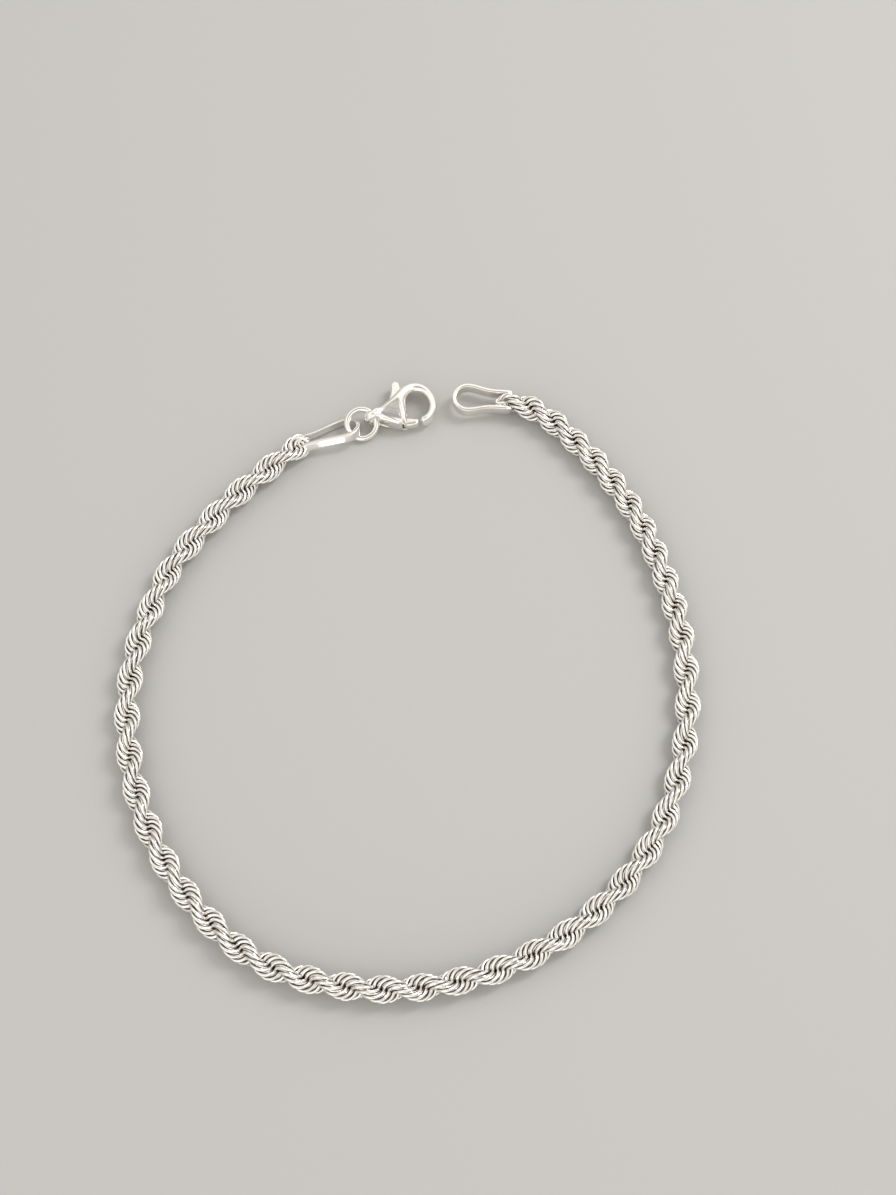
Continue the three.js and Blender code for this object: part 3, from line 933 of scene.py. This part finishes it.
def silver(name, roughness, dull, wave, wave_depth, mark, mark_depth, hollows=False):
    """Silver with waves and marks of these sizes and depths in millimetres, and two roughnesses."""
    material, tree, output = new_material(name)
    place = add_node(tree, "ShaderNodeTexCoord").outputs["Object"]
    slow = add_node(tree, "ShaderNodeTexNoise", {"Vector": place, "Scale": per_mm(wave), "Detail": 2.0})
    patch = add_node(tree, "ShaderNodeTexNoise", {
        "Vector": place, "Scale": per_mm(wave * PATCH_TO_WAVE), "Detail": 3.0})
    fine = add_node(tree, "ShaderNodeTexNoise", {"Vector": place, "Scale": per_mm(mark), "Detail": 4.0})

    worn = ramp(tree, patch.outputs["Fac"], PATCH_DULL, (roughness, dull))
    tint = ramp(tree, patch.outputs["Fac"], PATCH_DARK, (0.0, PATCH_DARK_MOST))
    skin = mixed(tree, tint, linear(SILVER), linear(DULLED))
    if hollows:
        # Painted shade: the colour darkens towards dark grey where the AO node finds wires close by.
        near = add_node(tree, "ShaderNodeAmbientOcclusion", {"Distance": PAINTED_SHADE_REACH * MM}, samples=4)
        painted_shade_share = ramp(tree, near.outputs["AO"], PAINTED_SHADE_FROM, (0.0, PAINTED_SHADE_MOST))
        skin = mixed(tree, painted_shade_share, skin, linear(PAINTED_SHADE))

    waves = add_node(tree, "ShaderNodeBump", {
        "Height": slow.outputs["Fac"], "Strength": 1.0, "Distance": wave_depth * MM})
    marks = add_node(tree, "ShaderNodeBump", {
        "Height": fine.outputs["Fac"], "Strength": 1.0, "Distance": mark_depth * MM,
        "Normal": waves.outputs["Normal"]})
    metal = add_node(tree, "ShaderNodeBsdfPrincipled", {
        "Base Color": skin, "Metallic": 1.0, "Roughness": worn, "Normal": marks.outputs["Normal"]})
    tree.links.new(metal.outputs["BSDF"], output.inputs["Surface"])
    return material


print("sterling silver in linear light:", [round(part, 2) for part in linear(SILVER)[:3]])

# %% [markdown]
# ## One silver, six finishes
#
# How a piece was made tells in its shine. Each finish is named for its metal and its making, and the note
# above it says what that gives the eye.

# %% Finishes
# Drawn wire, soldered into rings and tumbled: soft bright lines, with shade painted between the wires.
ring_silver = silver("soldered_ring_silver", 0.2, 0.3, wave=0.8, wave_depth=0.02,
                     mark=0.06, mark_depth=0.0015, hollows=True)
# Strip from a rolling mill, buffed: long clean reflections that waver a little.
strip_silver = silver("rolled_strip_silver", 0.12, 0.22, wave=1.1, wave_depth=0.02,
                      mark=0.07, mark_depth=0.0012)
# Thick wire pulled through a plate: the brightest and smoothest of them.
wire_silver = silver("drawn_wire_silver", 0.1, 0.2, wave=0.9, wave_depth=0.015,
                     mark=0.06, mark_depth=0.001)
# Cast and buffed by hand: reflections that roll over slow dents.
cast_silver = silver("buffed_casting_silver", 0.14, 0.26, wave=1.2, wave_depth=0.03,
                     mark=0.09, mark_depth=0.0025)
# Filed flush: duller than the rest.
pin_silver = silver("filed_pin_silver", 0.22, 0.34, wave=0.5, wave_depth=0.01,
                    mark=0.05, mark_depth=0.002)
# Solder as it froze: lumpy, with small blurred glints.
solder_silver = silver("solder_silver", 0.2, 0.34, wave=0.35, wave_depth=0.03,
                       mark=0.07, mark_depth=0.004)
finishes = (ring_silver, strip_silver, wire_silver, cast_silver, pin_silver, solder_silver)
print("finishes:", [finish.name for finish in finishes])

# %% [markdown]
# ## Finishes on the pieces
#
# Each piece gets its finish, the body it moves with, and the node of the solid model that it stands for.
# Only the lever moves with a body of its own. The model's own nodes are hidden behind their pieces, and
# they get a finish too.

# %% Dress the bracelet
for stretch in rope_stretches:
    finish_with(stretch, ring_silver, stands_for=["rope_chain"])
for drop in solder_drops:
    finish_with(drop, solder_silver)
for node, strip in loop_strips.items():
    finish_with(strip, strip_silver, stands_for=[node])
finish_with(jump_wire, wire_silver, stands_for=["jump_ring"])
finish_with(clasp_body, cast_silver, stands_for=["clasp_body"])
finish_with(lever, cast_silver, body="lever", stands_for=["clasp_lever"])
finish_with(rivet, pin_silver, stands_for=["clasp_rivet"])
for name, node in nodes.items():
    node.data.materials.clear()
    node.data.materials.append(ring_silver if name == "rope_chain" else cast_silver)
print("dressed nodes:", sorted(nodes))

# %% [markdown]
# ## The floor
#
# The bracelet lies on a plain pale board, which is matt so that no reflection competes with the silver. A
# faint grain of half a millimetre breaks up its flatness. It lies just under the bracelet and reaches 3 m
# each way, so it is there from every side.

# %% Floor
FLOOR_REACH = 3.0
FLOOR_GAP = 0.01
BOARD = "#bab9b6"
BOARD_ROUGHNESS = 0.8
GRAIN = 0.5
GRAIN_DEPTH = 0.02
GRAIN_STRENGTH = 0.3
CORNERS = ((-1, -1), (1, -1), (1, 1), (-1, 1))

floor_mesh = bpy.data.meshes.new("floor")
floor_mesh.from_pydata([(x * FLOOR_REACH, y * FLOOR_REACH, 0) for x, y in CORNERS], [], [(0, 1, 2, 3)])
floor = bpy.data.objects.new("floor", floor_mesh)
bpy.context.scene.collection.objects.link(floor)
floor.location.z = cad_box[0][2] - FLOOR_GAP * MM

pale_board, tree, output = new_material("pale_board")
place = add_node(tree, "ShaderNodeTexCoord").outputs["Object"]
grain = add_node(tree, "ShaderNodeTexNoise", {"Vector": place, "Scale": per_mm(GRAIN), "Detail": 4.0})
bump = add_node(tree, "ShaderNodeBump", {
    "Height": grain.outputs["Fac"], "Strength": GRAIN_STRENGTH, "Distance": GRAIN_DEPTH * MM})
board = add_node(tree, "ShaderNodeBsdfPrincipled", {
    "Base Color": linear(BOARD), "Roughness": BOARD_ROUGHNESS, "Normal": bump.outputs["Normal"]})
tree.links.new(board.outputs["BSDF"], output.inputs["Surface"])
floor.data.materials.append(pale_board)
print("the floor's height, mm:", round(floor.location.z / MM, 3))

# %% [markdown]
# ## The room
#
# Polished metal shows the room more than itself. Under a bright dome silver looks nearly white, with its
# dark only in the hollows. The dome is brighter above than at the horizon, so wires keep a shaded side. A
# grey card hangs overhead, just where the clasp's facet mirrors it, and the curves around it stay bright.
# All of it is fixed in the room, so it stays where it is from any side.

# %% Dome and card
DOME_SPAN = (0.05, 0.7)       # how high the dome is, from its dim edge to its bright top
DOME_GLOW = (0.5, 1.12)
DOME_WHITE = "#fffdf8"
CARD_TILT = math.radians(-2)
CARD_REACH = math.radians(24)
CARD_CORE = 0.6               # the share of its reach in which the card is at its darkest
CARD_SHADE = 0.34

world = bpy.data.worlds.new("room")
bpy.context.scene.world = world
world.use_nodes = True
sky = world.node_tree
way = add_node(sky, "ShaderNodeTexCoord").outputs["Generated"]
height = add_node(sky, "ShaderNodeSeparateXYZ", {"Vector": way}).outputs["Z"]
dome = ramp(sky, height, DOME_SPAN, DOME_GLOW, interpolation_type="SMOOTHSTEP")
to_card = add_node(sky, "ShaderNodeVectorMath", {"Vector": way}, operation="DOT_PRODUCT")
to_card.inputs[1].default_value = (0, -math.sin(CARD_TILT), math.cos(CARD_TILT))
card = ramp(sky, to_card.outputs["Value"], (math.cos(CARD_REACH), math.cos(CARD_REACH * CARD_CORE)),
            (1.0, CARD_SHADE), interpolation_type="SMOOTHSTEP")
glow = add_node(sky, "ShaderNodeMath", operation="MULTIPLY")
sky.links.new(dome, glow.inputs[0])
sky.links.new(card, glow.inputs[1])
sky.links.new(glow.outputs["Value"], sky.nodes["Background"].inputs["Strength"])
sky.nodes["Background"].inputs["Color"].default_value = linear(DOME_WHITE)
print("the room's nodes:", len(sky.nodes))

# %% [markdown]
# ## Two soft boxes
#
# A dome alone leaves no shadow and no glint. A key box from behind on the right gives the soft shadow and
# one clean bright line on each wire, and a long low box in front lights the faces towards the camera. The
# standard view shows whites as white, which silver needs.

# %% Soft boxes


def soft_box(name, place, size, power):
    """A rectangle of light, its place and size in metres, that faces the bracelet."""
    data = bpy.data.lights.new(name, "AREA")
    data.shape = "RECTANGLE"
    data.size = size[0]
    data.size_y = size[1]
    data.energy = power
    light = bpy.data.objects.new(name, data)
    bpy.context.scene.collection.objects.link(light)
    light.location = place
    light.rotation_euler = (-Vector(place)).to_track_quat("-Z", "Y").to_euler()


soft_box("key_box", place=(0.26, 0.16, 0.36), size=(0.1, 0.2), power=0.7)
soft_box("front_box", place=(-0.12, -0.45, 0.12), size=(0.5, 0.16), power=0.3)
bpy.context.scene.view_settings.view_transform = "Standard"

# %% [markdown]
# ## Sizes
#
# The model's box is printed, in millimetres.

# %% Print the model's box
bpy.context.view_layer.update()
print("model box, mm:", [[round(v / MM, 2) for v in corner] for corner in cad_box])
